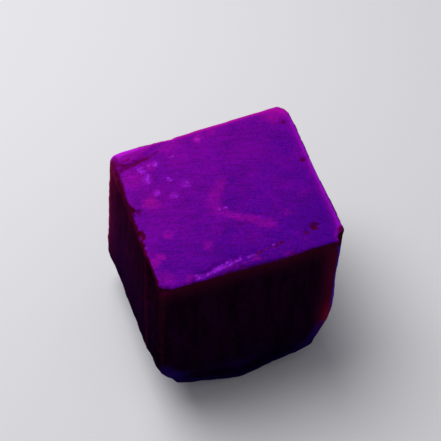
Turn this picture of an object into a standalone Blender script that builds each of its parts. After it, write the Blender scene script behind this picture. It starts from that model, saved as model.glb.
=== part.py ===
"""Rough ruby: one natural stone, grown as a slightly skewed cube about 12 mm along each edge.

The top face is level, the front face looks along -Y and +Z is up. The stone rests on a small flat
in its broken underside, and the origin is under the middle of the stone at that level.
The shape is worked out in millimetres and turned into metres at the end.
"""

from math import cos, radians, sin

import bmesh
import bpy
import numpy as np
from mathutils import Matrix, Vector, noise

# Driving dimensions, in millimetres. Angles are in degrees.
MM = 0.001
HEIGHT = 12.1
MIDDLE = Vector((0.0, 0.0, HEIGHT / 2))

# Every natural face and every broken face is a plane: the bearing it looks towards (0 is +X,
# 90 is +Y), how far it looks up, and how far it lies from the middle of the stone.
FACES = {
    "top": (0, 90, HEIGHT / 2),
    "front": (270, 5, 6.17),
    "left": (180, 6, 6.79),
    "front_left_flat": (182, 6.4, 6.86),
    "left_shoulder": (178, 45, 8.53),
    "right": (-1.8, -3, 5.79),
    "right_bevel": (-1.8, 45, 8.44),
    "back": (93.1, -2.6, 5.50),
    "back_bevel": (93.1, 45, 8.30),
    "back_right_corner": (45, 0, 8.32),
    "back_left_corner": (137, 20, 9.58),
    "front_left_corner": (222, 7.8, 8.89),
    "front_right_flat": (-36, 1.2, 7.73),
    "front_foot": (269, -8, 6.91),
    "base_front_left": (206, -65, 7.15),
    "base_front_right": (-32, -66, 6.66),
    "break_low": (-61, -37, 8.32),
    "break_high": (-38.5, -18, 7.88),
    "left_foot": (185.5, -28, 7.41),
    "right_foot": (2, -52, 7.42),
    "back_foot": (86, -48, 7.16),
    "back_right_foot": (42, -25, 8.95),
}

SPARE = 0.14           # stone left below the resting flat until it is cut level
SCULPT_CELL = 0.14     # mesh size while the wear is worked in
WEAR_PASSES = 5        # rounds of smoothing: the edges come out rounded by about 0.25 mm
TRIANGLES = 9800       # the share of them above the resting face makes the finished stone
DEEP_MARK = 0.06       # a pit or groove this deep keeps all its triangles
PLAIN_PULL = 1.0       # how much harder the plain faces are thinned out than the marks

# Small hollows in the surface: where the middle is, how wide and how deep.
PITS = {
    "largest pit": ((4.24, -4.10, 12.1), 0.38, 0.18),
    "pit beside it": ((3.70, -4.32, 12.1), 0.24, 0.10),
    "back right pit": ((5.50, 4.50, 12.1), 0.30, 0.10),
    "right edge pit": ((5.65, 1.06, 12.1), 0.30, 0.08),
    "left edge pit": ((-5.57, 0.41, 12.1), 0.32, 0.14),
    "left face pit": ((-6.45, 1.80, 6.3), 0.45, 0.12),
    "under the knob": ((5.62, -5.45, 12.0), 0.38, 0.17),
}
# Chips out of the ragged left edge of the top, from back to front.
EDGE_CHIPS = {
    "chip 1": ((-6.00, 1.95, 12.1), 0.24, 0.08),
    "chip 2": ((-6.04, 0.60, 12.1), 0.46, 0.18),
    "chip 3": ((-6.10, -0.60, 12.1), 0.22, 0.10),
    "chip 4": ((-6.10, -1.35, 12.1), 0.42, 0.20),
    "chip 5": ((-6.14, -2.20, 12.1), 0.30, 0.12),
    "chip 6": ((-6.26, -3.10, 12.1), 0.36, 0.14),
    "chip 7": ((-6.30, -4.50, 12.1), 0.22, 0.08),
}
# Raised places, in the same way.
LUMPS = {
    "corner knob": ((5.80, -4.80, 12.0), 0.50, 0.08),
    "back left lip": ((-4.60, 5.35, 12.0), 1.5, 0.04),
    "front foot swell": ((-1.60, -6.30, 1.4), 3.2, 0.24),
}
# Grooves along a run of points: the points, the width, and the depth. A ridge has a depth below 0.
BACK_LEFT_STEP = [
    (-6.35, 3.85, 12.0),
    (-5.85, 3.98, 12.1),
    (-4.66, 4.45, 12.1),
    (-2.98, 5.13, 12.1),
    (-1.95, 5.60, 12.1),
]
FRONT_CRACK_LEFT = [(-3.72, -5.40, 12.1), (-2.69, -5.12, 12.1), (-1.57, -4.97, 12.1), (-1.00, -4.95, 12.1)]
FRONT_CRACK_RIGHT = [(-0.45, -4.84, 12.1), (0.82, -4.71, 12.1), (2.02, -4.60, 12.1)]
FLAT_CREASE = [(-6.22, -2.80, 12.0), (-6.50, -3.55, 8.5), (-6.98, -4.40, 4.2)]
FLAT_HOLLOW = [(-6.25, -4.20, 11.3), (-6.60, -4.80, 8.5), (-6.98, -5.30, 5.0)]
RUNS = {
    "back left step": (BACK_LEFT_STEP, 0.30, 0.09),
    "front crack, left": (FRONT_CRACK_LEFT, 0.26, 0.13),
    "front crack, right": (FRONT_CRACK_RIGHT, 0.19, 0.08),
    "crease of the left side": (FLAT_CREASE, 0.50, -0.09),
    "hollow beside the crease": (FLAT_HOLLOW, 0.85, 0.09),
}
RAGGED = (0.55, 0.22)  # the marks' outlines wander this far apart, and this far to the side

# The slow unevenness of the grown faces and the rougher one of the broken underside:
# the length of its waves, their height, and where in the pattern the stone lies.
TOP_WAVES = [(3.4, 0.03, 11.0)]
SIDE_WAVES = [(2.8, 0.05, 3.0)]
BREAK_WAVES = [(2.2, 0.16, 5.0), (0.9, 0.08, 8.0)]


def clear_scene():
    for old in list(bpy.data.objects):
        bpy.data.objects.remove(old, do_unlink=True)


def ruby_material():
    """Opaque violet-red corundum with a dull, waxy surface."""
    ruby = bpy.data.materials.new("ruby")
    ruby.use_nodes = True
    shader = ruby.node_tree.nodes["Principled BSDF"]
    shader.inputs["Base Color"].default_value = (0.11, 0.004, 0.27, 1.0)
    shader.inputs["Roughness"].default_value = 0.5
    shader.inputs["Metallic"].default_value = 0.0
    return ruby


def looks_towards(bearing, rise):
    """The unit direction with this bearing and this angle above level."""
    flat = cos(radians(rise))
    return Vector((cos(radians(bearing)) * flat, sin(radians(bearing)) * flat, sin(radians(rise))))


def cut_crystal():
    """A block cut back to each of the stone's faces in turn."""
    block = bmesh.new()
    bmesh.ops.create_cube(block, size=4 * HEIGHT, matrix=Matrix.Translation(MIDDLE))
    underside = (0, -90, HEIGHT / 2 + SPARE)
    for bearing, rise, reach in [*FACES.values(), underside]:
        facing = looks_towards(bearing, rise)
        geometry = block.verts[:] + block.edges[:] + block.faces[:]
        cut = bmesh.ops.bisect_plane(block, geom=geometry, plane_co=MIDDLE + facing * reach,
                                     plane_no=facing, clear_outer=True)
        rim = [part for part in cut["geom_cut"] if isinstance(part, bmesh.types.BMEdge)]
        bmesh.ops.edgeloop_fill(block, edges=rim)
    bmesh.ops.recalc_face_normals(block, faces=block.faces[:])
    mesh = bpy.data.meshes.new("cut crystal")
    block.to_mesh(mesh)
    block.free()
    return mesh


def apply_modifier(thing, kind, **settings):
    """Replaces the object's mesh by what one modifier makes of it."""
    modifier = thing.modifiers.new(kind.title(), kind)
    for setting, value in settings.items():
        setattr(modifier, setting, value)
    view = bpy.context.evaluated_depsgraph_get()
    shaped = bpy.data.meshes.new_from_object(thing.evaluated_get(view))
    thing.modifiers.remove(modifier)
    thing.data = shaped


def bump(distance, width):
    """One at no distance, falling smoothly to nothing at the given width."""
    return np.clip(1.0 - (distance / width) ** 2, 0.0, 1.0) ** 2


def distance_to_run(points, run):
    """How far each point is from a chain of straight pieces."""
    nearest = np.full(len(points), np.inf)
    for start, end in zip(run[:-1], run[1:]):
        start, end = np.array(start), np.array(end)
        along = np.clip((points - start) @ (end - start) / np.dot(end - start, end - start), 0.0, 1.0)
        nearest = np.minimum(nearest, np.linalg.norm(points - start - along[:, None] * (end - start), axis=1))
    return nearest


def unevenness(points, waves):
    """Smooth random relief that is the same on every run."""
    relief = np.zeros(len(points))
    for length, height, place in waves:
        shift = Vector((place, 0.0, 0.0))
        relief += height * np.array([noise.noise(Vector(point) / length + shift) for point in points])
    return relief


def ragged(points):
    """The points pushed about sideways, so that a mark measured from them has a natural outline."""
    length, reach = RAGGED
    return points + reach * np.array([noise.noise_vector(Vector(point) / length) for point in points])


def work_in_wear(mesh):
    """Moves the surface in and out along its normals. Returns how strongly each point was worked."""
    points = np.array([vertex.co for vertex in mesh.vertices])
    normals = np.array([vertex.normal for vertex in mesh.vertices])
    rough_points = ragged(points)
    marks = np.zeros(len(points))
    for place, width, depth in [*PITS.values(), *EDGE_CHIPS.values()]:
        marks -= depth * bump(np.linalg.norm(rough_points - np.array(place), axis=1), width)
    for run, width, depth in RUNS.values():
        marks -= depth * bump(distance_to_run(rough_points, run), width)

    swells = np.zeros(len(points))
    for place, width, height in LUMPS.values():
        swells += height * bump(np.linalg.norm(points - np.array(place), axis=1), width)

    level = np.clip(normals[:, 2], 0.0, 1.0) ** 8        # 1 on the top face, 0 on the sides
    under = np.clip(-3.0 * normals[:, 2], 0.0, 1.0)      # 1 on the broken underside
    waves = level * unevenness(points, TOP_WAVES)
    waves += (1.0 - level) * unevenness(points, SIDE_WAVES)
    waves += under * unevenness(points, BREAK_WAVES)

    points += normals * (marks + swells + waves)[:, None]
    mesh.vertices.foreach_set("co", points.astype(np.float32).ravel())
    mesh.update()
    return np.clip(np.abs(marks) / DEEP_MARK, 0.0, 1.0)


def thin_out(crystal, worked):
    """Fewer, larger triangles on the plain faces, with the worked places kept fine."""
    plain = crystal.vertex_groups.new(name="plain")
    for index, strength in enumerate(worked):
        plain.add([index], 1.0 - float(strength), "REPLACE")
    crystal.data.calc_loop_triangles()
    share = TRIANGLES / len(crystal.data.loop_triangles)
    apply_modifier(crystal, "DECIMATE", decimate_type="COLLAPSE", ratio=share, vertex_group="plain",
                   vertex_group_factor=PLAIN_PULL)
    crystal.vertex_groups.clear()


def cut_resting_flat(mesh):
    """Cuts the underside off level at height 0 and closes the cut with one flat face."""
    stone = bmesh.new()
    stone.from_mesh(mesh)
    geometry = stone.verts[:] + stone.edges[:] + stone.faces[:]
    cut = bmesh.ops.bisect_plane(stone, geom=geometry, dist=1e-4, plane_co=(0, 0, 0),
                                 plane_no=(0, 0, -1), clear_outer=True)
    rim = [part for part in cut["geom_cut"] if isinstance(part, bmesh.types.BMEdge)]
    bmesh.ops.edgeloop_fill(stone, edges=rim)
    bmesh.ops.triangulate(stone, faces=stone.faces[:])
    bmesh.ops.recalc_face_normals(stone, faces=stone.faces[:])
    stone.to_mesh(mesh)
    stone.free()


def stand_at_origin(mesh):
    """Centres the stone over the origin and turns millimetres into metres."""
    points = np.array([vertex.co for vertex in mesh.vertices])
    centre = (points.min(axis=0) + points.max(axis=0)) / 2
    mesh.transform(Matrix.Scale(MM, 4) @ Matrix.Translation((-centre[0], -centre[1], 0.0)))


def main():
    clear_scene()
    parts = bpy.data.collections.new("ruby")
    bpy.context.scene.collection.children.link(parts)
    crystal = bpy.data.objects.new("ruby_crystal", cut_crystal())
    parts.objects.link(crystal)

    apply_modifier(crystal, "REMESH", mode="VOXEL", voxel_size=SCULPT_CELL)
    apply_modifier(crystal, "SMOOTH", factor=0.5, iterations=WEAR_PASSES)
    worked = work_in_wear(crystal.data)
    thin_out(crystal, worked)
    cut_resting_flat(crystal.data)
    stand_at_origin(crystal.data)
    crystal.data.name = "ruby_crystal"
    crystal.data.materials.clear()
    crystal.data.materials.append(ruby_material())


main()
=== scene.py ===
import math

import bmesh
import bpy
from mathutils import Matrix, Vector


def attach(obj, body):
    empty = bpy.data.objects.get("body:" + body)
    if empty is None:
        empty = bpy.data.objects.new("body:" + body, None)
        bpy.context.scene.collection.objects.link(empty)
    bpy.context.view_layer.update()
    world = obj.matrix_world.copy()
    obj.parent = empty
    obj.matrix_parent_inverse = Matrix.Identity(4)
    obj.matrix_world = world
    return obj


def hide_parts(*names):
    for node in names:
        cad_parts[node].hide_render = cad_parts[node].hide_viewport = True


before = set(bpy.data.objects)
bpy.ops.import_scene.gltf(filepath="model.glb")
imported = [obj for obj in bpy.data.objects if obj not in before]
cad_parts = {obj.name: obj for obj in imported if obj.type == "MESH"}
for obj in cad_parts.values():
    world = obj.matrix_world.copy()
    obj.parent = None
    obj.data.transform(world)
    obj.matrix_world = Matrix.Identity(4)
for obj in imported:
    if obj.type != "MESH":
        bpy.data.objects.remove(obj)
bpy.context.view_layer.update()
print("frame loaded")

mm = 0.001               # shapes are worked in millimetres and scaled to metres at the end


# one sRGB hex colour as the linear values that sockets take
def toLinear(hexColour):
    parts = [int(hexColour[i:i + 2], 16) / 255 for i in (1, 3, 5)]
    return [c / 12.92 if c <= 0.04045 else ((c + 0.055) / 1.055) ** 2.4 for c in parts] + [1.0]


# adds a node; an input takes a plain value, a socket, or a node whose first live output is meant,
# and stops are the places and hex colours of a ramp
def addNode(tree, kind, inputs=None, stops=(), **settings):
    node = tree.nodes.new(kind)
    for name, value in settings.items():
        setattr(node, name, value)
    for key, value in (inputs or {}).items():
        live = [s for s in node.inputs if s.enabled]
        socket = live[key] if isinstance(key, int) else next(s for s in live if s.name == key)
        if isinstance(value, bpy.types.Node):
            value = next(s for s in value.outputs if s.enabled)
        if isinstance(value, bpy.types.NodeSocket):
            tree.links.new(value, socket)
        else:
            socket.default_value = value
    if stops:
        ramp = node.color_ramp.elements
        for place, tone in stops[1:-1]:
            ramp.new(place)
        for element, (place, tone) in zip(ramp, stops):
            element.position = place
            element.color = toLinear(tone)
    return node


# sets the modifier's inputs by the identifiers of their sockets
def addTreeModifier(thing, tree, values):
    modifier = thing.modifiers.new(tree.name, "NODES")
    modifier.node_group = tree
    for item in tree.interface.items_tree:
        if item.in_out == "INPUT" and item.name in values:
            modifier[item.identifier] = values[item.name]
    return modifier


# a tree with one named input for each given value; returns it with the outputs of its input node
def startTree(name, values):
    tree = bpy.data.node_groups.new(name, "GeometryNodeTree")
    kinds = {int: "Int", float: "Float", bpy.types.Object: "Object", bpy.types.Material: "Material"}
    tree.interface.new_socket("Geometry", in_out="INPUT", socket_type="NodeSocketGeometry")
    for key, value in values.items():
        tree.interface.new_socket(key, in_out="INPUT", socket_type="NodeSocket" + kinds[type(value)])
    tree.interface.new_socket("Geometry", in_out="OUTPUT", socket_type="NodeSocketGeometry")
    return tree, addNode(tree, "NodeGroupInput").outputs


# every tree ends in real geometry with its material on it
def endTree(tree, geometry, material):
    single = addNode(tree, "GeometryNodeRealizeInstances", {"Geometry": geometry})
    dressed = addNode(tree, "GeometryNodeSetMaterial", {"Geometry": single, "Material": material})
    addNode(tree, "NodeGroupOutput", {"Geometry": dressed})


# the evaluated object as a plain mesh, with its modifiers gone
def bakeModifiers(thing):
    graph = bpy.context.evaluated_depsgraph_get()
    mesh = bpy.data.meshes.new_from_object(thing.evaluated_get(graph), preserve_all_data_layers=True,
                                           depsgraph=graph)
    thing.modifiers.clear()
    thing.data = mesh


def addObject(name, data):
    thing = bpy.data.objects.new(name, data)
    bpy.context.scene.collection.objects.link(thing)
    return thing


# the crystal. Lengths are in millimetres, from the middle of its foot; a mark is a path or a single
# point, how far it reaches and how strong it is, and a point with no height is on the top face
topLevel = 12.1
drawnOut = (1.0, 1.0, 0.12)        # draws a pattern out along the height, into upright bands
crystalLook = {
    "meshCell": 0.075,             # fine enough for chips of 0.2 mm
    "quickCell": 1.6,
    "ledgeShape": (1.0, 1.0, 0.45),    # draws the growth ledges out a little along the height
    "triangles": 190000,
    "relief": {
        "Edge Reach": 30,          # blur steps: an edge counts as one up to about 0.25 mm round
        "Glow Reach": 250,         # blur steps: the painted glow soaks about 0.8 mm in at an edge
        "Chip Size": 0.42,
        "Chip Depth": 0.11,
        "Nick Size": 0.22,
        "Nick Depth": 0.06,
        "Grain Size": 0.30,
        "Grain Height": 0.010,
        "Break Size": 1.5,         # scallops of the broken underside
        "Break Height": 0.10,
        "Band Size": 0.55,         # upright growth bands down the side faces
        "Band Height": 0.014,
        "Ledge Size": 2.6,         # growth ledges on the side faces
        "Ledge Count": 14.0,       # levels that a whole wave is cut into
        "Ledge Height": 0.028,
        "Pit Spacing": 0.9,
        "Pit Depth": 0.05,
        "Mark Depth": 0.045,
        "Dent Depth": 0.26,
        "Crumb Size": 0.2,
        "Crumb Height": 0.09,
        "Veil Wander": 0.9,        # how far the outlines of the marks stray
        "Spot Wander": 0.35,
        "Veil Broken": 1.6,        # how patchy they are
        "Spot Broken": 0.9,
        "Seed": 4.0,
    },
    # soft steps in the relief: the value read, where the step starts and where it is full. standOut is
    # in millimetres, nz is 1 on a level top, level is 0 on an upright face, rest runs 0 to 1 up a ledge
    "reliefSteps": {
        # hollow also sets the material's painted shade in hollows
        "edge": ("standOut", 0.015, 0.07), "hollow": ("standOut", -0.004, -0.03),
        "below": ("nz", -0.15, -0.5), "side": ("level", 0.5, 0.25), "front": ("rest", 0.42, 0.58),
    },
    # straight ones, all in millimetres: the worn back and right edges, the foot and the resting flat
    "reliefRamps": {
        "back": ("y", 4.6, 5.4), "right": ("x", 5.2, 5.9), "high": ("z", 9.0, 11.0),
        "foot": ("z", 2.0, 3.5), "clear": ("z", 0.03, 0.25),
    },
    "tones": {
        # the top, violet where the light falls on it: painted light
        "violet": "#4a0088", "redderViolet": "#7c0096", "veil": "#9a0698",
        # its far edges, which light comes through: painted glow
        "softRimGlow": "#7c0296", "backRimGlow": "#a8069c", "rightRimGlow": "#9206ba", "lipRimGlow": "#be16d2",
        "corner": "#a0049a",
        # its near edges: painted shade along the brows
        "frontBrowShade": "#2e0014", "leftBrowShade": "#3c001a", "backLeftBrowShade": "#5c0040", "underBrow": "#46001e",
        # the sides and the foot: painted glow at thin uprights, painted cold light low and right
        "leftGlow": "#960048", "frontGlow": "#900032", "upright": "#4a00c4", "coolLight": "#2a0070",
        "patch": "#6e004c", "foot": "#1c0068", "broken": "#160056",
        # pitted, undercut and crushed places, partly painted shade, and the shine on all of them
        "stain": "#560018", "undercut": "#5c003e", "frost": "#d02eff", "shine": "#a000ff",
    },
    # side colours by height, 0 at the foot and 1 at the top, with painted shade darker towards the foot
    "stops": {
        "front": [(0.05, "#080020"), (0.20, "#110020"), (0.35, "#1a001c"), (0.80, "#1e001c")],
        "turned": [(0.05, "#140020"), (0.30, "#1e0028"), (0.50, "#28002e"), (0.75, "#2e0028"),
                   (0.95, "#320022")],
    },
    # places that colours spread from, and the point that the growth lines bend round
    "places": {
        "corner": (5.6, 5.7, 12.0), "lip": (-4.9, 5.6, 12.0), "frontMiddle": (0.6, -5.3, 12.0),
        "growth": (-9.0, -32.0, 12.0),
    },
    # noise: what it follows, how many waves to the millimetre, detail, roughness and twist. Clouds and
    # patches are about 2 mm across, upright bands 0.6 mm, mottling 0.24 mm and wear 0.12 mm. Real growth
    # lines are 0.15 mm apart, drawn at 0.2 mm here so that they show
    "patterns": {
        "clouds": ("place", 0.55, 5.0, 0.62, 0.0), "patches": ("place", 0.45, 4.0, 0.6, 0.0),
        "mottle": ("place", 4.2, 3.0, 0.7, 0.0), "ragged": ("place", 4.5, 4.0, 0.65, 0.0),
        "specks": ("place", 8.0, 2.0, 0.5, 0.0), "fine": ("place", 9.0, 3.0, 0.6, 0.0),
        "bands": ("drawn", 1.7, 4.0, 0.65, 0.0), "lines": ("bent", 5.0, 2.0, 0.7, 1.0),
    },
    "grit": 4.6,                   # crushed grains to the millimetre, 0.22 mm each
    "acrossLines": 0.16,           # how much the growth lines also change along x
    "waver": 4.0,                  # millimetres that an uneven height wanders in all
    "ragged": 0.34,                # how ragged the border of the top's colour is
    # how level a place is where the top's colour is full, and how its two ends ease off by place
    "topFull": 0.96,
    "topEasing": {
        "From Min": {"frontEdge": -0.45, "far": -0.50}, "From Max": {"frontEdge": -0.36, "far": -0.25},
    },
    # the top turns redder with these patterns, and towards the back and left
    "redness": {"clouds": 1.2, "mottle": 0.9},
    "redderBy": (-0.040, 0.060, 0.0),
    "redderFrom": 0.68,
    # chips and pits get the stain's dark red as painted shade
    "chipShade": 6.0,
    "pitShade": 0.4,
    "dullStains": 0.25,            # stained and crushed places are rougher by this
    "bump": {"Strength": 0.7, "Distance": 0.04 * mm},
    "finish": {
        "IOR": 1.77,               # corundum
        "Specular IOR Level": 0.06, "Subsurface Weight": 0.25,
        "Subsurface Radius": (1.0, 0.15, 0.4), "Subsurface Scale": 0.5 * mm,
    },
    # soft steps of the colours: the value read, where the step starts and ends, and what it gives there
    "steps": {
        # places on the stone
        "back": ("y", 4.9, 5.9, 0, 1), "right": ("x", 5.3, 6.3, 0, 1),
        # dim and nearBack set the painted glow of the left face towards the back
        "nearBack": ("y", 2.5, 6.2, 0, 1), "dim": ("y", 2.5, 6.2, 0, 0.28),
        "backLeft": ("y", 3.4, 5.2, 0, 1), "farther": ("y", 1.0, 3.6, 0, 1),
        "nearRight": ("x", 3.8, 5.8, 0, 1), "nearLeft": ("x", -4.4, -6.0, 0, 1),
        "toFront": ("y", 3.5, -5.5, 0, 0.9), "nearFront": ("y", -3.9, -5.4, 0, 0.8),
        # forward sets the painted shade of the left face, darker towards the front
        "frontEdge": ("y", -4.6, -5.0, 0, 1), "forward": ("y", -4.5, 3.0, 0.55, 1.3),
        "atCorner": ("corner", 1.3, 0.2, 0, 0.8), "atLip": ("lip", 1.9, 0.6, 0, 1),
        "lower": ("frontMiddle", 3.8, 1.6, 0.82, 0.62),
        # heights
        "underBrow": ("z", 9.9, 12.2, 0, 1), "aboveMiddle": ("z", 3.0, 7.0, 0, 1),
        "lobe": ("z", 4.6, 7.0, 1.0, 0.32), "faint": ("z", 2.2, 3.9, 0.28, 1.0),
        "aboveFoot": ("uneven", 3.0, 5.2, 0, 1), "aboveBreak": ("uneven", 1.2, 2.8, 0, 1),
        "low": ("uneven", 4.8, 3.0, 0, 1), "lowDown": ("uneven", 6.5, 1.5, 0, 0.85),
        # ways that the surface faces
        "left": ("nx", -0.15, -0.45, 0, 1), "notLeft": ("nx", -0.45, -0.15, 0, 1),
        "lessLeft": ("nx", -0.45, -0.15, 0, 0.25), "rightward": ("nx", 0.12, 0.45, 0, 1),
        "sideways": ("nx", 0.35, 0.80, 0, 1), "outerSide": ("nx", 0.55, 0.80, 0, 1),
        "turned": ("ny", -0.85, -0.3, 0, 1), "inFront": ("ny", -0.3, -0.85, 0, 1),
        "upward": ("nz", 0.15, 0.45, 0, 1), "outermost": ("up", 0.95, 0.75, 1.0, 1.15),
        "brow": ("up", 0.28, 0.60, 0, 1),
        # how near an edge is (for the painted glow), a hollow and the level of a ledge (for painted shade)
        "outward": ("glow", 0.03, 0.13, 0, 1), "soaked": ("glow", 0.05, 0.16, 0, 0.9),
        "thin": ("glow", 0.05, 0.18, 0, 1), "rounded": ("glow", 0.155, 0.215, 0, 1),
        "sunken": ("hollow", 0.0, 1.0, 1.0, 0.55), "stepped": ("step", 0.0, 1.0, 0.85, 1.15),
        # patterns
        "lined": ("lines", 0.3, 0.7, 0.86, 1.16), "specked": ("specks", 0.3, 0.7, 0.84, 1.16),
        "dusty": ("fine", 0.3, 0.7, 0.90, 1.10), "drifting": ("patches", 0.3, 0.7, 0.93, 1.07),
        "patched": ("patches", 0.45, 0.7, 0, 0.55), "cloudy": ("mottle", 0.3, 0.7, 0.5, 1.0),
        "mottled": ("mottle", 0.3, 0.7, 0.85, 1.15), "blotched": ("mottle", 0.3, 0.7, 0.7, 1.3),
        "banded": ("bands", 0.3, 0.7, 0.70, 1.30), "streaked": ("bands", 0.25, 0.7, 0.75, 1.0),
        "gritty": ("grit", 0.55, 0.15, 0.25, 1.0), "dullness": ("mottle", 0.3, 0.7, 0.38, 0.52),
    },
    "marks": {
        "Veils": [                 # cloudy magenta patches
            ([(0.41, 1.24), (0.06, 0.84), (-0.36, 0.41), (-0.51, -0.15), (-0.36, -0.68), (0.14, -1.25)],
             0.50, 0.5),
            ([(0.14, -1.25), (0.71, -1.72), (1.41, -2.16)], 0.36, 0.65),
            ([(1.41, -2.16), (2.26, -2.72)], 0.46, 0.5),
            ([(-0.37, -5.07), (0.88, -5.00)], 0.10, 0.6),
            ([(1.21, 5.68)], 0.42, 0.8), ([(0.12, 5.23)], 0.50, 0.8),
            ([(-4.80, 3.31)], 0.95, 0.5), ([(-4.28, 1.14)], 0.66, 1.0),
            ([(-5.38, -3.23)], 0.50, 0.8), ([(-4.88, -2.96)], 0.26, 1.0),
            ([(-3.97, -1.62)], 0.36, 0.6), ([(-1.93, -3.15)], 0.44, 0.55),
            ([(3.45, -2.26)], 0.30, 0.3), ([(4.97, -1.16)], 0.40, 0.2),
            ([(-5.1, 5.5), (-4.25, 5.55), (-3.3, 5.5)], 0.34, 0.9),
            ([(-5.09, -4.56)], 0.70, 0.35), ([(-3.72, -5.12)], 0.42, 0.5),
            ([(2.50, -5.27)], 0.45, 0.5), ([(-3.38, 4.01)], 0.45, 0.6),
            ([(-2.17, 5.18), (-0.97, 5.48)], 0.5, 0.5), ([(-4.87, 5.03), (-3.87, 5.28)], 0.5, 0.6),
        ],
        "Stains": [                # dark red where pitted or undercut: partly own colour, partly painted shade
            ([(-5.80, 5.05), (-5.76, 4.50), (-5.70, 3.90)], 0.40, 1.0),
            ([(-5.52, 5.35), (-5.42, 4.85)], 0.34, 0.75), ([(-4.95, 4.95), (-4.55, 5.00)], 0.15, 0.6),
            ([(-5.16, 4.71), (-4.75, 4.50)], 0.22, 0.9),
            ([(-5.77, 4.22), (-5.42, 4.27), (-4.23, 4.56), (-3.40, 4.80)], 0.22, 1.0),
            ([(-3.40, 4.80), (-2.70, 5.04)], 0.18, 0.6),
            ([(-5.52, 4.18), (-5.59, 2.66), (-5.67, 1.01)], 0.13, 0.6),
            ([(-5.67, -0.13), (-5.69, -1.79), (-5.83, -3.29), (-5.87, -4.77)], 0.15, 0.8),
            ([(0.48, -4.66), (1.09, -4.54), (1.55, -4.48), (2.04, -4.37), (2.51, -4.28)], 0.09, 0.9),
            ([(5.98, 4.81)], 0.22, 1.0), ([(6.00, 1.34)], 0.26, 0.9), ([(-0.62, -4.58)], 0.08, 0.9),
            ([(-1.50, -5.02), (-0.70, -4.86)], 0.06, 0.8), ([(0.55, -4.75)], 0.09, 1.0),
            ([(4.69, -3.81)], 0.30, 1.0), ([(4.11, -4.11)], 0.22, 0.9),
            ([(6.15, -4.54)], 0.32, 1.0), ([(-5.19, 0.70)], 0.22, 0.8),
            ([(-5.60, -0.85), (-5.55, -1.22)], 0.34, 0.9),
            ([(-1.59, -1.98)], 0.10, 0.6), ([(0.43, -2.22)], 0.10, 0.6), ([(-1.92, 4.48)], 0.14, 0.6),
            ([(-5.79, -2.51, 12.0), (-6.07, -3.26, 8.5), (-6.55, -4.11, 4.2)], 0.34, 0.25),
            ([(-5.52, -5.37, 11.6), (-5.82, -5.67, 8.0), (-6.02, -5.87, 5.0)], 0.24, 0.2),
            ([(-6.17, 1.10, 7.9)], 0.27, 0.9),
        ],
        "Frosts": [                # crushed, whitish violet spots
            ([(-3.25, -5.09), (-2.78, -5.06), (-2.20, -4.95)], 0.16, 0.9),
            ([(-2.20, -4.95), (-1.66, -4.86), (-1.02, -4.77)], 0.24, 1.0),
            ([(-1.02, -4.77), (-0.44, -4.62)], 0.15, 1.0), ([(-1.3, -4.62), (-0.9, -4.56)], 0.09, 0.9),
            ([(0.13, -4.70), (0.53, -4.62)], 0.12, 1.0),
            ([(1.25, -4.45), (1.50, -4.40)], 0.08, 1.0), ([(1.78, -4.36), (1.98, -4.30)], 0.08, 1.0),
            ([(2.20, -4.27)], 0.07, 1.0), ([(0.80, -4.57)], 0.06, 0.9),
            ([(-3.12, 4.09)], 0.30, 0.9), ([(-3.52, 4.12)], 0.18, 0.7), ([(-4.10, 3.95)], 0.30, 0.7),
            ([(-4.01, 3.75)], 0.28, 0.7), ([(-3.86, 3.22), (-4.00, 2.92)], 0.34, 0.7),
            ([(-2.59, 2.59)], 0.22, 1.0), ([(-1.74, 1.92)], 0.40, 0.4), ([(-3.72, 1.75)], 0.28, 0.85),
            ([(-2.71, 1.22)], 0.32, 0.6), ([(-1.92, 4.30)], 0.20, 0.6), ([(0.16, 5.22)], 0.22, 0.5),
            ([(-5.51, -1.32)], 0.08, 0.8), ([(-5.53, -2.01)], 0.10, 0.8),
            ([(-0.36, -0.68)], 0.11, 0.9), ([(0.06, -0.69)], 0.13, 0.9), ([(-5.67, 5.03, 8.75)], 0.20, 0.4),
        ],
        "Dents": [                 # a bite under the front right knob, and a worn front left corner
            ([(6.05, -5.02, 11.8), (5.98, -5.10, 11.5)], 0.42, 1.0),
            ([(-5.62, -5.28, 12.0), (-5.35, -5.42, 12.0)], 0.42, 1.0),
        ],
    },
}


# loose points that carry a reach and a strength, close together along each path
def markObject(name, marks):
    points, values = [], {"reach": [], "strength": []}
    for path, reach, strength in marks:
        path = [Vector((*p, topLevel)) if len(p) == 2 else Vector(p) for p in path]
        dots = [path[-1]]
        for start, end in zip(path, path[1:]):
            steps = max(1, math.ceil((end - start).length / (0.4 * reach)))
            dots += [start.lerp(end, i / steps) for i in range(steps)]
        points += dots
        values["reach"] += [reach] * len(dots)
        values["strength"] += [strength] * len(dots)
    mesh = bpy.data.meshes.new(name)
    mesh.from_pydata(points, [], [])
    for key, numbers in values.items():
        mesh.attributes.new(key, "FLOAT", "POINT").data.foreach_set("value", numbers)
    return addObject(name, mesh)


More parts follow.
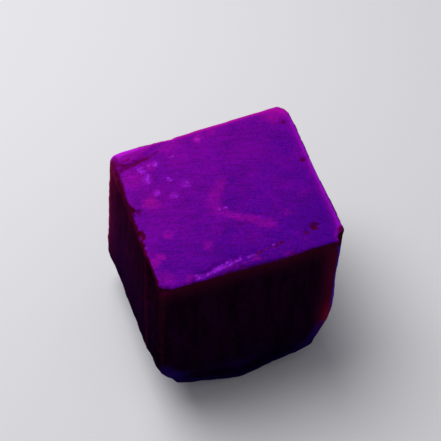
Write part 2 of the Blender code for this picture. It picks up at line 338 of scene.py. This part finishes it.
# the strength of the nearest mark inside its reach and 0 outside, with a wandering and broken outline
def addMarkMask(tree, marks, position, wander, broken, seed):
    # the outline strays in waves of 0.7 mm, and the mark is broken up in patches of 0.2 mm
    stray = addNode(tree, "ShaderNodeTexNoise", {"Vector": position, "W": seed, "Scale": 1.4,
                                                 "Detail": 4.0, "Roughness": 0.65}, noise_dimensions="4D")
    centred = addNode(tree, "ShaderNodeVectorMath", {0: stray.outputs["Color"], 1: (0.5, 0.5, 0.5)},
                      operation="SUBTRACT")
    strayed = addNode(tree, "ShaderNodeVectorMath", {0: centred, "Scale": wander}, operation="SCALE")
    place = addNode(tree, "ShaderNodeVectorMath", {0: position, 1: strayed}, operation="ADD")
    points = addNode(tree, "GeometryNodeObjectInfo", {"Object": marks}, transform_space="ORIGINAL")
    points = points.outputs["Geometry"]
    nearest = addNode(tree, "GeometryNodeSampleNearest", {"Geometry": points, "Sample Position": place},
                      domain="POINT")
    found = {}
    for key in ("reach", "strength"):
        value = addNode(tree, "GeometryNodeInputNamedAttribute", {"Name": key}, data_type="FLOAT")
        found[key] = addNode(tree, "GeometryNodeSampleIndex",
                             {"Geometry": points, "Value": value, "Index": nearest},
                             data_type="FLOAT", domain="POINT")
    where = addNode(tree, "GeometryNodeSampleIndex",
                    {"Geometry": points, "Value": addNode(tree, "GeometryNodeInputPosition"),
                     "Index": nearest}, data_type="FLOAT_VECTOR", domain="POINT")
    away = addNode(tree, "ShaderNodeVectorMath", {0: place, 1: where}, operation="DISTANCE")
    share = addNode(tree, "ShaderNodeMath", {0: away.outputs["Value"], 1: found["reach"]}, operation="DIVIDE")
    patchy = addNode(tree, "ShaderNodeTexNoise", {"Vector": position, "W": seed, "Scale": 4.5,
                                                  "Detail": 3.0, "Roughness": 0.7}, noise_dimensions="4D")
    patchy = addNode(tree, "ShaderNodeMath", {0: patchy, 1: 0.5}, operation="SUBTRACT")
    share = addNode(tree, "ShaderNodeMath", {0: patchy, 1: broken, 2: share},
                    operation="MULTIPLY_ADD")
    inside = addNode(tree, "ShaderNodeMapRange", {"Value": share, "From Min": 1.15, "From Max": 0.3},
                     interpolation_type="SMOOTHSTEP")
    return addNode(tree, "ShaderNodeMath", {0: inside, 1: found["strength"]}, operation="MULTIPLY")


# how far the surface stands out of its own smoothed shape: edges above 0, hollows below
def addStandOut(tree, position, normal, steps):
    smooth = addNode(tree, "GeometryNodeBlurAttribute", {"Value": position, "Iterations": steps},
                     data_type="FLOAT_VECTOR")
    out = addNode(tree, "ShaderNodeVectorMath", {0: position, 1: smooth}, operation="SUBTRACT")
    out = addNode(tree, "ShaderNodeVectorMath", {0: out, 1: normal}, operation="DOT_PRODUCT")
    return out.outputs["Value"]


# bowls in some cells of a cell pattern, each with its own depth
def addBowls(tree, position, seed, size, rim, rarity):
    scale = addNode(tree, "ShaderNodeMath", {0: 1.0, 1: size}, operation="DIVIDE")
    cells = addNode(tree, "ShaderNodeTexVoronoi", {"Vector": position, "W": seed, "Scale": scale},
                    voronoi_dimensions="4D", feature="F1")
    bowl = addNode(tree, "ShaderNodeMapRange", {"Value": cells.outputs["Distance"], "From Min": rim,
                                                "From Max": 0.25 * rim}, interpolation_type="SMOOTHSTEP")
    chance = addNode(tree, "FunctionNodeSeparateColor", {0: cells.outputs["Color"]})
    picked = addNode(tree, "ShaderNodeMapRange", {"Value": chance, "From Min": rarity, "From Max": 1.0})
    return addNode(tree, "ShaderNodeMath", {0: bowl, 1: picked}, operation="MULTIPLY")


# smooth random relief of the given wave length, centred on 0 and about half the height each way
def addWaves(tree, position, seed, size, height, detail):
    scale = addNode(tree, "ShaderNodeMath", {0: 1.0, 1: size}, operation="DIVIDE")
    waves = addNode(tree, "ShaderNodeTexNoise", {"Vector": position, "W": seed, "Scale": scale,
                                                 "Detail": detail}, noise_dimensions="4D")
    waves = addNode(tree, "ShaderNodeMath", {0: waves, 1: 0.5}, operation="SUBTRACT")
    return addNode(tree, "ShaderNodeMath", {0: waves, 1: height}, operation="MULTIPLY")


# steps from a table: each row is the value read, where its step starts and ends, and what it gives there
def addSteps(tree, table, read, kind="SMOOTHSTEP"):
    steps = {}
    for name, (source, start, end, *ends) in table.items():
        low, high = ends or (0, 1)
        steps[name] = addNode(tree, "ShaderNodeMapRange", {
            "Value": read[source], "From Min": start, "From Max": end, "To Min": low, "To Max": high},
            interpolation_type=kind)
    return steps


# the relief of a weathered crystal, and the masks that its material reads
def weatheredSurface(look, values):
    tree, given = startTree("weatheredSurface", values)
    seed = given["Seed"]
    position = addNode(tree, "GeometryNodeInputPosition")
    normal = addNode(tree, "GeometryNodeInputNormal")
    x, y, z = addNode(tree, "ShaderNodeSeparateXYZ", {0: position}).outputs
    nz = addNode(tree, "ShaderNodeSeparateXYZ", {0: normal}).outputs["Z"]

    # growth ledges are slow waves, cut into level steps with steep fronts
    squat = addNode(tree, "ShaderNodeVectorMath", {0: position, 1: look["ledgeShape"]},
                    operation="MULTIPLY")
    rise = addWaves(tree, squat, seed, given["Ledge Size"], given["Ledge Count"], 3.0)
    whole = addNode(tree, "ShaderNodeMath", {0: rise}, operation="FLOOR")
    rest = addNode(tree, "ShaderNodeMath", {0: rise}, operation="FRACT")

    level = addNode(tree, "ShaderNodeMath", {0: nz}, operation="ABSOLUTE")
    read = {"x": x, "y": y, "z": z, "nz": nz, "level": level, "rest": rest,
            "standOut": addStandOut(tree, position, normal, given["Edge Reach"])}
    soft = {**addSteps(tree, look["reliefSteps"], read),
            **addSteps(tree, look["reliefRamps"], read, "LINEAR")}

    # chips and nicks out of the edges; the back and right edges of the top are worn smooth
    worn = addNode(tree, "ShaderNodeMath", {0: soft["back"], 1: soft["right"]}, operation="MAXIMUM")
    worn = addNode(tree, "ShaderNodeMath", {0: worn, 1: soft["high"]}, operation="MULTIPLY")
    rough = addNode(tree, "ShaderNodeMath", {0: soft["edge"], 1: worn}, operation="SUBTRACT", use_clamp=True)
    chips = addBowls(tree, position, seed, given["Chip Size"], rim=0.62, rarity=0.35)
    chips = addNode(tree, "ShaderNodeMath", {0: chips, 1: given["Chip Depth"]}, operation="MULTIPLY")
    nicks = addBowls(tree, position, seed, given["Nick Size"], rim=0.60, rarity=0.25)
    chips = addNode(tree, "ShaderNodeMath", {0: nicks, 1: given["Nick Depth"], 2: chips},
                    operation="MULTIPLY_ADD")
    chips = addNode(tree, "ShaderNodeMath", {0: chips, 1: rough}, operation="MULTIPLY")

    # fine grain all over; upright growth bands and the ledges down the sides
    grain = addWaves(tree, position, seed, given["Grain Size"], given["Grain Height"], 2.0)
    upright = addNode(tree, "ShaderNodeVectorMath", {0: position, 1: drawnOut}, operation="MULTIPLY")
    band = addWaves(tree, upright, seed, given["Band Size"], given["Band Height"], 2.0)
    ledge = addNode(tree, "ShaderNodeMath", {0: whole, 1: soft["front"]}, operation="ADD")
    ledge = addNode(tree, "ShaderNodeMath", {0: ledge, 1: given["Ledge Height"], 2: band},
                    operation="MULTIPLY_ADD")
    for share in (soft["side"], soft["foot"]):
        ledge = addNode(tree, "ShaderNodeMath", {0: ledge, 1: share}, operation="MULTIPLY")

    # scalloped break underneath
    breakScale = addNode(tree, "ShaderNodeMath", {0: 1.0, 1: given["Break Size"]}, operation="DIVIDE")
    scallop = addNode(tree, "ShaderNodeTexVoronoi", {
        "Vector": position, "W": seed, "Scale": breakScale, "Smoothness": 0.15},
        voronoi_dimensions="4D", feature="SMOOTH_F1")
    # 0.36 is about the middle of what the pattern gives, so the scallops go in as far as out
    scallop = addNode(tree, "ShaderNodeMath", {0: scallop.outputs["Distance"], 1: 0.36}, operation="SUBTRACT")
    for share in (soft["below"], given["Break Height"]):
        scallop = addNode(tree, "ShaderNodeMath", {0: scallop, 1: share}, operation="MULTIPLY")

    # scattered pits
    pits = addBowls(tree, position, seed, given["Pit Spacing"], rim=0.22, rarity=0.55)
    pit = addNode(tree, "ShaderNodeMath", {0: pits, 1: given["Pit Depth"]}, operation="MULTIPLY")

    # the marks, each kind from its own points and with its own seed
    masks = {}
    for number, name in enumerate(look["marks"]):
        itsSeed = addNode(tree, "ShaderNodeMath", {0: seed, 1: 7.3 * number}, operation="ADD")
        kind = "Veil" if name == "Veils" else "Spot"
        masks[name] = addMarkMask(tree, given[name], position, given[kind + " Wander"],
                                  given[kind + " Broken"], itsSeed)

    # crumbs where the surface is crushed; 0.45 is again about the middle of what the pattern gives
    crumbScale = addNode(tree, "ShaderNodeMath", {0: 1.0, 1: given["Crumb Size"]}, operation="DIVIDE")
    crumbs = addNode(tree, "ShaderNodeTexVoronoi", {"Vector": position, "W": seed, "Scale": crumbScale},
                     voronoi_dimensions="4D", feature="F1")
    crumbs = addNode(tree, "ShaderNodeMath", {0: 0.45, 1: crumbs.outputs["Distance"]}, operation="SUBTRACT")
    for share in (masks["Frosts"], given["Crumb Height"]):
        crumbs = addNode(tree, "ShaderNodeMath", {0: crumbs, 1: share}, operation="MULTIPLY")

    # stained places sink in a little, dents far more
    sunk = addNode(tree, "ShaderNodeMath", {0: masks["Stains"], 1: given["Mark Depth"]}, operation="MULTIPLY")
    sunk = addNode(tree, "ShaderNodeMath", {0: masks["Dents"], 1: given["Dent Depth"], 2: sunk},
                   operation="MULTIPLY_ADD")

    # all of it together; the flat that the stone rests on stays flat
    height = grain
    for part, sign in ((chips, "SUBTRACT"), (ledge, "ADD"), (scallop, "ADD"), (crumbs, "ADD"),
                       (pit, "SUBTRACT"), (sunk, "SUBTRACT"), (soft["clear"], "MULTIPLY")):
        height = addNode(tree, "ShaderNodeMath", {0: height, 1: part}, operation=sign)

    # masks are kept as they are before the relief moves the points
    kept = {"up": nz, "hollow": soft["hollow"], "below": soft["below"], "step": rest, "chip": chips,
            "pit": pits, "veil": masks["Veils"], "stain": masks["Stains"], "frost": masks["Frosts"],
            "glow": addStandOut(tree, position, normal, given["Glow Reach"])}
    stored = given["Geometry"]
    for name, value in kept.items():
        stored = addNode(tree, "GeometryNodeStoreNamedAttribute", {
            "Geometry": stored, "Name": name, "Value": value}, data_type="FLOAT", domain="POINT")
    offset = addNode(tree, "ShaderNodeVectorMath", {0: normal, "Scale": height}, operation="SCALE")
    moved = addNode(tree, "GeometryNodeSetPosition", {"Geometry": stored, "Offset": offset})

    # nothing goes through the ground
    now = addNode(tree, "ShaderNodeSeparateXYZ", {0: addNode(tree, "GeometryNodeInputPosition")}).outputs
    raised = addNode(tree, "ShaderNodeMath", {0: now["Z"], 1: 0.0}, operation="MAXIMUM")
    stands = addNode(tree, "ShaderNodeCombineXYZ", {"X": now["X"], "Y": now["Y"], "Z": raised})
    moved = addNode(tree, "GeometryNodeSetPosition", {"Geometry": moved, "Position": stands})
    endTree(tree, moved, given["Material"])
    return tree


# lays each colour over what is there, by the product of its named shares
def addLayers(tree, colour, shares, layers):
    for names, over in layers:
        share, *others = [shares[name] for name in names.split()]
        for other in others:
            share = addNode(tree, "ShaderNodeMath", {0: share, 1: other}, operation="MULTIPLY")
        colour = addNode(tree, "ShaderNodeMix", {"Factor": share, "A": colour, "B": over}, data_type="RGBA")
    return colour


# lightens or darkens a colour by each named share in turn
def addShades(tree, colour, shares, names):
    for name in names.split():
        colour = addNode(tree, "ShaderNodeVectorMath", {0: colour, "Scale": shares[name]}, operation="SCALE")
    return colour


# rough corundum, opaque and waxy from natural wear, with light and shade painted into its colour: violet
# where the light falls on it, painted dark maroon shade down the sides, and a painted crimson glow where a
# thin edge lets light through
def roughCorundum(look):
    material = bpy.data.materials.new("roughCorundum")
    material.use_nodes = True
    tree = material.node_tree
    tree.nodes.clear()
    tone = {name: toLinear(value) for name, value in look["tones"].items()}

    # what the colours go by: the relief's masks, the place in millimetres, which way it faces, how far
    # off some places are, and the patterns
    names = ("up", "hollow", "glow", "chip", "pit", "step", "veil", "stain", "frost", "below")
    read = {name: addNode(tree, "ShaderNodeAttribute", attribute_name=name).outputs["Fac"] for name in names}
    place = addNode(tree, "ShaderNodeTexCoord").outputs["Object"]
    place = addNode(tree, "ShaderNodeVectorMath", {0: place, "Scale": 1 / mm}, operation="SCALE")
    facing = addNode(tree, "ShaderNodeNewGeometry").outputs["Normal"]
    for axes, source in ((("x", "y", "z"), place), (("nx", "ny", "nz"), facing)):
        read.update(zip(axes, addNode(tree, "ShaderNodeSeparateXYZ", {0: source}).outputs))
    for name, spot in look["places"].items():
        away = addNode(tree, "ShaderNodeVectorMath", {0: place, 1: spot}, operation="DISTANCE")
        read[name] = away.outputs["Value"]
    drawn = addNode(tree, "ShaderNodeVectorMath", {0: place, 1: drawnOut}, operation="MULTIPLY")
    slow = addNode(tree, "ShaderNodeMath", {0: read["x"], 1: look["acrossLines"]}, operation="MULTIPLY")
    bent = addNode(tree, "ShaderNodeCombineXYZ", {"X": slow, "Y": read["growth"]})
    follow = {"place": place, "drawn": drawn, "bent": bent}
    for name, (source, waves, detail, roughness, twist) in look["patterns"].items():
        read[name] = addNode(tree, "ShaderNodeTexNoise", {
            "Vector": follow[source], "Scale": waves, "Detail": detail, "Roughness": roughness,
            "Distortion": twist}).outputs["Fac"]
    grit = addNode(tree, "ShaderNodeTexVoronoi", {"Vector": place, "Scale": look["grit"]}, feature="F1")
    read["grit"] = grit.outputs["Distance"]
    uneven = addNode(tree, "ShaderNodeMath", {0: read["patches"], 1: look["waver"], 2: read["z"]},
                     operation="MULTIPLY_ADD")
    read["uneven"] = addNode(tree, "ShaderNodeMath", {0: uneven, 1: look["waver"] / 2}, operation="SUBTRACT")
    shares = {**read, **addSteps(tree, look["steps"], read)}

    # the far edges of the top get a painted glow; the near ones end in a dark brow of painted shade
    far = addNode(tree, "ShaderNodeMath", {0: shares["back"], 1: shares["right"]}, operation="MAXIMUM")
    shares["far"] = far
    shares["near"] = addNode(tree, "ShaderNodeMath", {0: 1.0, 1: far}, operation="SUBTRACT")
    up = addNode(tree, "ShaderNodeMath", {0: read["ragged"], 1: look["ragged"], 2: read["up"]},
                 operation="MULTIPLY_ADD")
    up = addNode(tree, "ShaderNodeMath", {0: up, 1: look["ragged"] / 2}, operation="SUBTRACT")
    ends = {"From Min": shares["lower"], "From Max": look["topFull"]}
    for end, easing in look["topEasing"].items():
        for name, change in easing.items():
            ends[end] = addNode(tree, "ShaderNodeMath", {0: shares[name], 1: change, 2: ends[end]},
                                operation="MULTIPLY_ADD")
    top = addNode(tree, "ShaderNodeMapRange", {"Value": up, **ends}, interpolation_type="SMOOTHSTEP")
    upward = addNode(tree, "ShaderNodeMath", {0: shares["upward"], 1: far}, operation="MAXIMUM")
    shares["top"] = addNode(tree, "ShaderNodeMath", {0: top, 1: upward}, operation="MULTIPLY")

    # the top's colour, a painted lit violet, and the painted glow along its far edges
    trend = addNode(tree, "ShaderNodeVectorMath", {0: place, 1: look["redderBy"]}, operation="DOT_PRODUCT")
    redder = trend.outputs["Value"]
    for name, weight in look["redness"].items():
        redder = addNode(tree, "ShaderNodeMath", {0: read[name], 1: weight, 2: redder},
                         operation="MULTIPLY_ADD")
    shares["redder"] = addNode(tree, "ShaderNodeMath", {0: redder, 1: look["redderFrom"]},
                               operation="SUBTRACT", use_clamp=True)
    violet = addLayers(tree, tone["violet"], shares, [
        ("redder", tone["redderViolet"]), ("veil cloudy", tone["veil"])])
    violet = addShades(tree, violet, shares, "lined specked dusty drifting")
    # painted glow of the far rims, brightest at the outermost edge
    rim = addLayers(tree, tone["rightRimGlow"], shares, [("back", tone["backRimGlow"]), ("atLip", tone["lipRimGlow"])])
    rim = addShades(tree, rim, shares, "outermost specked")
    litTopColour = addLayers(tree, violet, shares, [
        ("soaked far cloudy", tone["softRimGlow"]), ("atCorner cloudy", tone["corner"]), ("rounded far", rim)])

    # sides in painted shade: nearly black in front, maroon round the left, each darker and bluer towards the
    # foot
    height = addNode(tree, "ShaderNodeMapRange", {"Value": read["z"], "From Min": 0.0, "From Max": topLevel})
    frontShadedTone, turnedShadedTone = [addNode(tree, "ShaderNodeValToRGB", {"Fac": height}, stops=look["stops"][name])
                             for name in ("front", "turned")]
    sides = addLayers(tree, frontShadedTone, shares, [
        ("turned", turnedShadedTone), ("patched turned lessLeft aboveMiddle", tone["patch"])])
    # painted shade: the left face darker towards its front
    shares["leftFade"] = addNode(tree, "ShaderNodeMath", {0: shares["forward"], 1: shares["notLeft"]},
                                 operation="MAXIMUM")
    # banding and mottling are the stone's own; the hollows, the ledges and the left face get painted shade
    sides = addShades(tree, sides, shares, "banded stepped mottled sunken leftFade")

    # painted light and shade: a glow through the thin uprights, cold light on the right and the foot,
    # shade along the brows, and the lit top
    browShadeTone = addLayers(tree, tone["frontBrowShade"], shares, [
        ("left", tone["leftBrowShade"]), ("left backLeft", tone["backLeftBrowShade"])])
    browShadeTone = addShades(tree, browShadeTone, shares, "blotched")
    colour = addLayers(tree, sides, shares, [
        # painted glow where light comes through the thin uprights
        ("dim left", tone["leftGlow"]),
        ("nearBack thin nearLeft aboveFoot streaked", tone["leftGlow"]),
        ("nearRight nearRight inFront aboveBreak lobe", tone["frontGlow"]),
        ("thin turned aboveFoot lessLeft streaked", tone["leftGlow"]),
        # painted cold light on the right upright and low down
        ("sideways toFront toFront aboveBreak streaked", tone["coolLight"]),
        ("outerSide nearFront aboveBreak streaked", tone["upright"]),
        ("lowDown rightward", tone["foot"]),
        ("outward low faint inFront", tone["foot"]),
        # painted cold light on the broken underside
        ("below", tone["broken"]),
        # painted shade under and along the brows
        ("underBrow underBrow inFront", tone["underBrow"]),
        ("brow near", browShadeTone),
        ("top", litTopColour)])

    # pitted and chipped places are dark red, partly their own colour and partly painted shade in the hollows;
    # crushed ones pale violet with brighter grains
    stainAndHollowShade = read["stain"]
    for name, weight in (("chip", look["chipShade"]), ("pit", look["pitShade"])):
        stainAndHollowShade = addNode(tree, "ShaderNodeMath", {0: read[name], 1: weight, 2: stainAndHollowShade},
                          operation="MULTIPLY_ADD", use_clamp=True)
    shares["stainAndHollowShade"] = stainAndHollowShade
    stain = addLayers(tree, tone["stain"], shares, [("farther", tone["undercut"])])
    colour = addLayers(tree, colour, shares, [("stainAndHollowShade", stain), ("gritty frost", tone["frost"])])

    relief = addNode(tree, "ShaderNodeMath", {0: read["lines"], 1: shares["top"], 2: read["fine"]},
                     operation="MULTIPLY_ADD")
    bump = addNode(tree, "ShaderNodeBump", {"Height": relief, **look["bump"]})
    dull = addNode(tree, "ShaderNodeMath", {0: stainAndHollowShade, 1: read["frost"]}, operation="MAXIMUM")
    roughness = addNode(tree, "ShaderNodeMath", {0: dull, 1: look["dullStains"], 2: shares["dullness"]},
                        operation="MULTIPLY_ADD")
    shader = addNode(tree, "ShaderNodeBsdfPrincipled", {
        "Base Color": colour, "Roughness": roughness, "Normal": bump, "Specular Tint": tone["shine"],
        **look["finish"]})
    addNode(tree, "ShaderNodeOutputMaterial", {"Surface": shader})
    return material


def makeCrystal(look, material):
    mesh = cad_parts["ruby_crystal"].data.copy()
    mesh.name = "rubyCrystal"
    form = bmesh.new()
    form.from_mesh(mesh)
    bmesh.ops.remove_doubles(form, verts=form.verts[:], dist=1e-7)
    form.to_mesh(mesh)
    form.free()
    mesh.transform(Matrix.Scale(1 / mm, 4))
    crystal = addObject("rubyCrystal", mesh)

    remesh = crystal.modifiers.new("evenMesh", "REMESH")
    remesh.mode = "VOXEL"
    coarser = 1.0
    remesh.voxel_size = look["meshCell"] * coarser
    even = crystal.modifiers.new("softEdges", "SMOOTH")
    even.factor = 0.5
    even.iterations = 2
    bakeModifiers(crystal)
    print("even mesh", len(crystal.data.vertices))

    points = {name: markObject(name, marks) for name, marks in look["marks"].items()}
    values = {**look["relief"], **points, "Material": material}
    for name in ("Edge Reach", "Glow Reach"):
        values[name] = round(values[name] / coarser ** 2)
    addTreeModifier(crystal, weatheredSurface(look, values), values)
    bakeModifiers(crystal)
    for thing in points.values():
        bpy.data.objects.remove(thing)
    print("weathered surface")

    crystal.data.calc_loop_triangles()
    thinner = crystal.modifiers.new("thinner", "DECIMATE")
    thinner.ratio = min(1.0, look["triangles"] / len(crystal.data.loop_triangles))
    bakeModifiers(crystal)
    print("crystal", len(crystal.data.polygons), "faces")
    return crystal


# the grains crushed loose in the crack and the frosted spots
grainLook = {
    "scatter": {
        "Crowding": 110.0,         # grains to the square millimetre where the frost is strongest
        "Smallest": 0.02,          # half across, in millimetres
        "Largest": 0.07,
        "First Frost": 0.45,       # how strong the frost is where the first grains lie
        "Full Frost": 0.95,
        "Flatness": 0.6,           # height of a grain for its width
        "Seed": 11,
    },
    "shards": 9,                   # cells to the millimetre, so that each grain gets its own shade
    "clouds": 6,                   # waves to the millimetre
    "bump": {"Strength": 0.5, "Distance": 0.01 * mm},
    "finish": {"Roughness": 0.3, "IOR": 1.77, "Specular IOR Level": 0.3},
    "tones": {"pale": "#b030ff", "dim": "#6a0cc0", "shine": "#c060ff"},
}


# angular grains scattered over the frosted surface
def scatteredGrains(values):
    tree, given = startTree("scatteredGrains", values)
    ground = addNode(tree, "GeometryNodeObjectInfo", {"Object": given["Crystal"]}, transform_space="ORIGINAL")
    frost = addNode(tree, "GeometryNodeInputNamedAttribute", {"Name": "frost"}, data_type="FLOAT")
    crowded = addNode(tree, "ShaderNodeMapRange", {
        "Value": frost, "From Min": given["First Frost"], "From Max": given["Full Frost"]})
    crowded = addNode(tree, "ShaderNodeMath", {0: crowded, 1: given["Crowding"]}, operation="MULTIPLY")
    dots = addNode(tree, "GeometryNodeDistributePointsOnFaces",
                   {"Mesh": ground.outputs["Geometry"], "Density": crowded, "Seed": given["Seed"]},
                   distribute_method="RANDOM")
    grain = addNode(tree, "GeometryNodeMeshIcoSphere", {"Radius": 1.0, "Subdivisions": 1})
    size = addNode(tree, "FunctionNodeRandomValue", {
        "Min": given["Smallest"], "Max": given["Largest"], "Seed": given["Seed"]}, data_type="FLOAT")
    turn = addNode(tree, "FunctionNodeRandomValue", {
        "Min": (0.0, 0.0, 0.0), "Max": (math.tau, math.tau, math.tau), "Seed": given["Seed"]},
        data_type="FLOAT_VECTOR")
    low = addNode(tree, "ShaderNodeMath", {0: size, 1: given["Flatness"]}, operation="MULTIPLY")
    flattened = addNode(tree, "ShaderNodeCombineXYZ", {"X": size, "Y": size, "Z": low})
    placed = addNode(tree, "GeometryNodeInstanceOnPoints", {
        "Points": dots, "Instance": grain, "Rotation": turn, "Scale": flattened})
    endTree(tree, placed, given["Material"])
    return tree


# crushed corundum: sharp pale grains that scatter the light back
def crushedCorundum(look):
    material = bpy.data.materials.new("crushedCorundum")
    material.use_nodes = True
    tree = material.node_tree
    tree.nodes.clear()
    tone = {name: toLinear(value) for name, value in look["tones"].items()}
    place = addNode(tree, "ShaderNodeTexCoord").outputs["Object"]
    cells = addNode(tree, "ShaderNodeTexVoronoi", {"Vector": place, "Scale": look["shards"] / mm},
                    feature="F1")
    spread = addNode(tree, "ShaderNodeTexNoise", {
        "Vector": place, "Scale": look["clouds"] / mm, "Detail": 3.0})
    share = addNode(tree, "ShaderNodeMath", {0: cells.outputs["Distance"], 1: spread}, operation="MULTIPLY")
    share = addNode(tree, "ShaderNodeMapRange", {"Value": share, "From Min": 0.1, "From Max": 0.4})
    colour = addNode(tree, "ShaderNodeMix", {"Factor": share, "A": tone["pale"], "B": tone["dim"]},
                     data_type="RGBA")
    bump = addNode(tree, "ShaderNodeBump", {"Height": spread, **look["bump"]})
    shader = addNode(tree, "ShaderNodeBsdfPrincipled", {
        "Base Color": colour, "Normal": bump, "Specular Tint": tone["shine"], **look["finish"]})
    addNode(tree, "ShaderNodeOutputMaterial", {"Surface": shader})
    return material


def makeGrains(look, crystal):
    grains = addObject("crushedGrains", bpy.data.meshes.new("crushedGrains"))
    values = {**look["scatter"], "Crystal": crystal, "Material": crushedCorundum(look)}
    addTreeModifier(grains, scatteredGrains(values), values)
    bakeModifiers(grains)
    print("grains", len(grains.data.polygons), "faces")
    return grains


crystal = makeCrystal(crystalLook, roughCorundum(crystalLook))
grains = makeGrains(grainLook, crystal)
for thing in (crystal, grains):
    thing.data.transform(Matrix.Scale(mm, 4))
crystal.data.shade_smooth()
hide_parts("ruby_crystal")
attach(crystal, "root")
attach(grains, "root")

# plain pale floor
floorLook = {"radius": 1.5, "tone": "#e2e1e4", "roughness": 0.9, "shine": 0.1}


# matt paper: even and pale, with hardly any shine
def mattPaper(look):
    material = bpy.data.materials.new("mattPaper")
    material.use_nodes = True
    shader = material.node_tree.nodes["Principled BSDF"]
    shader.inputs["Base Color"].default_value = toLinear(look["tone"])
    shader.inputs["Roughness"].default_value = look["roughness"]
    shader.inputs["Specular IOR Level"].default_value = look["shine"]
    return material


def makeFloor(look):
    mesh = bpy.data.meshes.new("floor")
    form = bmesh.new()
    bmesh.ops.create_circle(form, cap_ends=True, segments=64, radius=look["radius"])
    form.to_mesh(mesh)
    form.free()
    mesh.materials.append(mattPaper(look))
    floor = addObject("floor", mesh)
    floor.visible_glossy = False       # black flags: the stone mirrors the softbox alone
    return floor


makeFloor(floorLook)
print("floor")

# soft studio light: one large softbox overhead and an even pale surround, in millimetres and watts
lightLook = {"tone": "#dcdce2", "surround": 0.35, "place": (-25, 45, 110), "aim": (0, 0, 6), "size": 90,
             "power": 0.12}


def makeLight(look):
    world = bpy.data.worlds.new("studio")
    bpy.context.scene.world = world
    world.use_nodes = True
    background = world.node_tree.nodes["Background"].inputs
    background["Color"].default_value = toLinear(look["tone"])
    background["Strength"].default_value = look["surround"]
    world.cycles_visibility.glossy = False
    softbox = bpy.data.lights.new("overheadSoftbox", "AREA")
    softbox.shape = "DISK"
    softbox.size = look["size"] * mm
    softbox.energy = look["power"]
    thing = addObject("overheadSoftbox", softbox)
    thing.location = Vector(look["place"]) * mm
    thing.rotation_euler = (Vector(look["place"]) - Vector(look["aim"])).to_track_quat("Z", "Y").to_euler()


makeLight(lightLook)
print("light")

# the camera looks down at the stone over its front left corner, 53 degrees below level
cameraLook = {"place": (-13.33, -38.59, 64.07), "forward": (0.19574, 0.56909, -0.79864), "lens": 86.53}
lens = bpy.data.cameras.new("camera")
lens.sensor_width = 36
lens.lens = cameraLook["lens"]
lens.clip_start = 0.002
lens.clip_end = 10
camera = addObject("camera", lens)
camera.location = Vector(cameraLook["place"]) * mm
camera.rotation_euler = Vector(cameraLook["forward"]).to_track_quat("-Z", "Y").to_euler()
bpy.context.scene.camera = camera
bpy.context.scene.view_settings.view_transform = "Standard"
print("camera")
